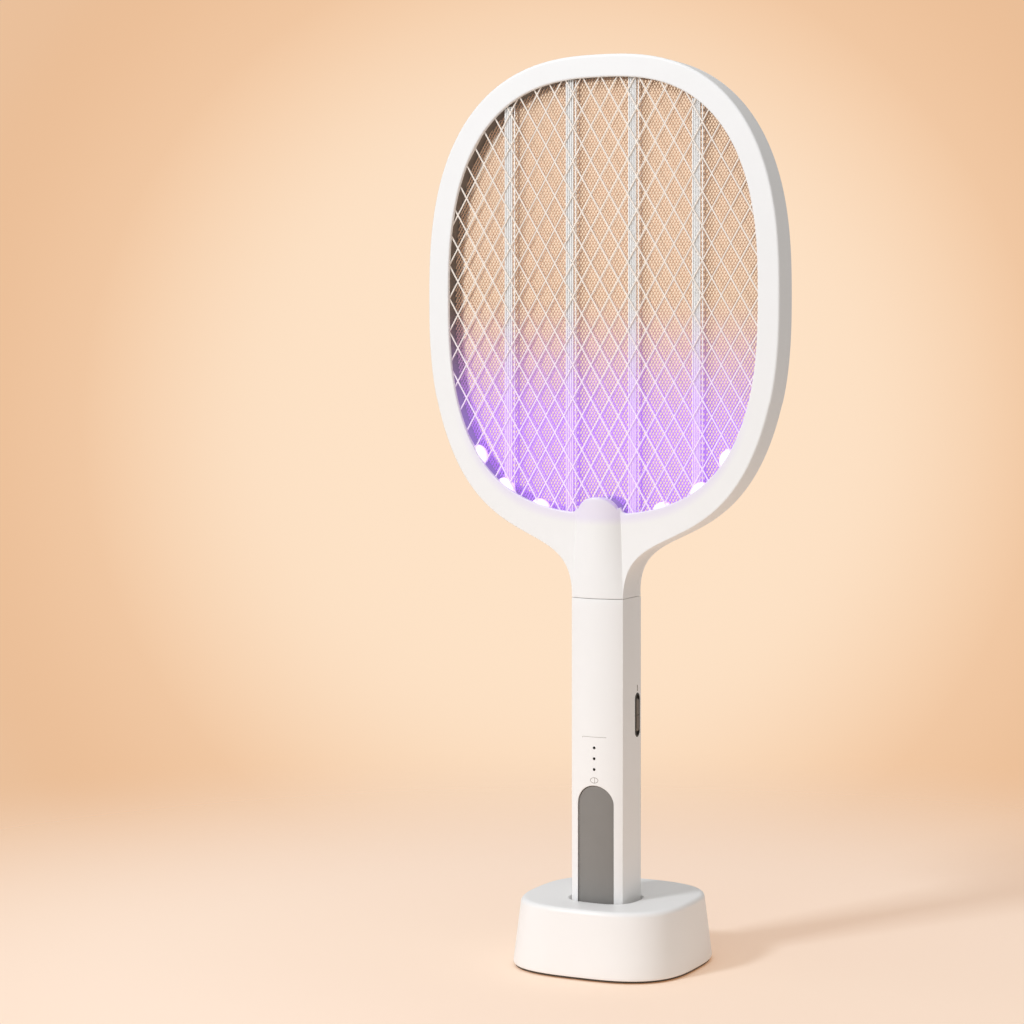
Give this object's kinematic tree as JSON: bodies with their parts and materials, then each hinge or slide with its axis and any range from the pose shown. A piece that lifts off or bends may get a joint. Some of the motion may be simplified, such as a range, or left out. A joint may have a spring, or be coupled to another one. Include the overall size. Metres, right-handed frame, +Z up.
{
  "type": "electric fly swatter",
  "caption": "Racket-shaped electric fly swatter with a three-layer net head and a lit lower rim, standing in a square-rounded charging dock.",
  "frame": {"origin": "middle of the dock footprint, on the surface it stands on", "axes": "+Z up along the racket, the flat front of the head and the press panel face -Y, +X to the side that carries the slide switch"},
  "size_m": [0.215, 0.1032, 0.511],
  "materials": {
    "shell_white": "moulded ABS, fine satin",
    "dark_plastic": "moulded, matt",
    "net_white": "powder coated",
    "grid_steel": "drawn wire",
    "rib_grey": "moulded",
    "board_green": "solder mask",
    "lamp": "clear epoxy",
    "lens_violet": "translucent acrylic",
    "steel": "zinc plated",
    "lead_red": "silicone sleeve",
    "panel_grey": "soft-touch moulding",
    "black_plastic": "moulded",
    "tape_yellow": "polyester tape",
    "cap_red": "epoxy dip",
    "cell_blue": "shrink sleeve",
    "nickel": "plated strip",
    "bezel_brown": "moulded",
    "knob_grey": "moulded",
    "gold_plate": "gold plated",
    "foot_rubber": "moulded silicone"
  },
  "bodies": {
    "dock": {"dock_shell": "shell_white", "dock_base": "dark_plastic", "dock_feet": "foot_rubber", "dock_board": "board_green", "contact_pins": "gold_plate", "charge_socket": "steel", "dock_screws": "steel"},
    "racket": {"head_shell": "shell_white", "head_cover": "shell_white", "net_frame": "dark_plastic", "front_net": "net_white", "shock_grid": "grid_steel", "rear_net": "net_white", "front_ribs": "rib_grey", "rear_bars": "rib_grey", "led_strip": "board_green", "led_chips": "lamp", "light_windows": "lens_violet", "head_screws": "steel", "grid_leads": "lead_red", "handle_shell": "shell_white", "handle_back": "shell_white", "panel_pin": "steel", "tact_switch": "black_plastic", "indicator_pipes": "black_plastic", "main_board": "board_green", "hv_transformer": "tape_yellow", "hv_capacitors": "cap_red", "battery_cell": "cell_blue", "cell_contacts": "nickel", "switch_bezel": "bezel_brown", "slide_switch": "steel", "handle_screws": "steel", "charge_pads": "gold_plate"},
    "panel": {"press_panel": "panel_grey"},
    "plunger": {"tact_plunger": "dark_plastic"},
    "knob": {"slide_knob": "knob_grey"}
  },
  "joints": [
    {"name": "racket_lift", "type": "slide", "parent": "dock", "child": "racket", "axis": [0, 0, 1], "range_m": [0, 0.04]},
    {"name": "panel_press", "type": "hinge", "parent": "racket", "child": "panel", "pos_m": [0, -0.0211, 0.017], "axis": [-1, 0, 0], "range_deg": [0, 0.9], "stiffness_Nm_per_rad": 5},
    {"name": "plunger_press", "type": "slide", "parent": "racket", "child": "plunger", "axis": [0, 1, 0], "range_m": [0, 0.0012]},
    {"name": "mode_slide", "type": "slide", "parent": "racket", "child": "knob", "axis": [0, 0, 1], "range_m": [-0.002, 0.002]}
  ],
  "couplings": [
    {"joint": "plunger_press", "follows": "panel_press", "m_per_rad": 0.075}
  ]
}
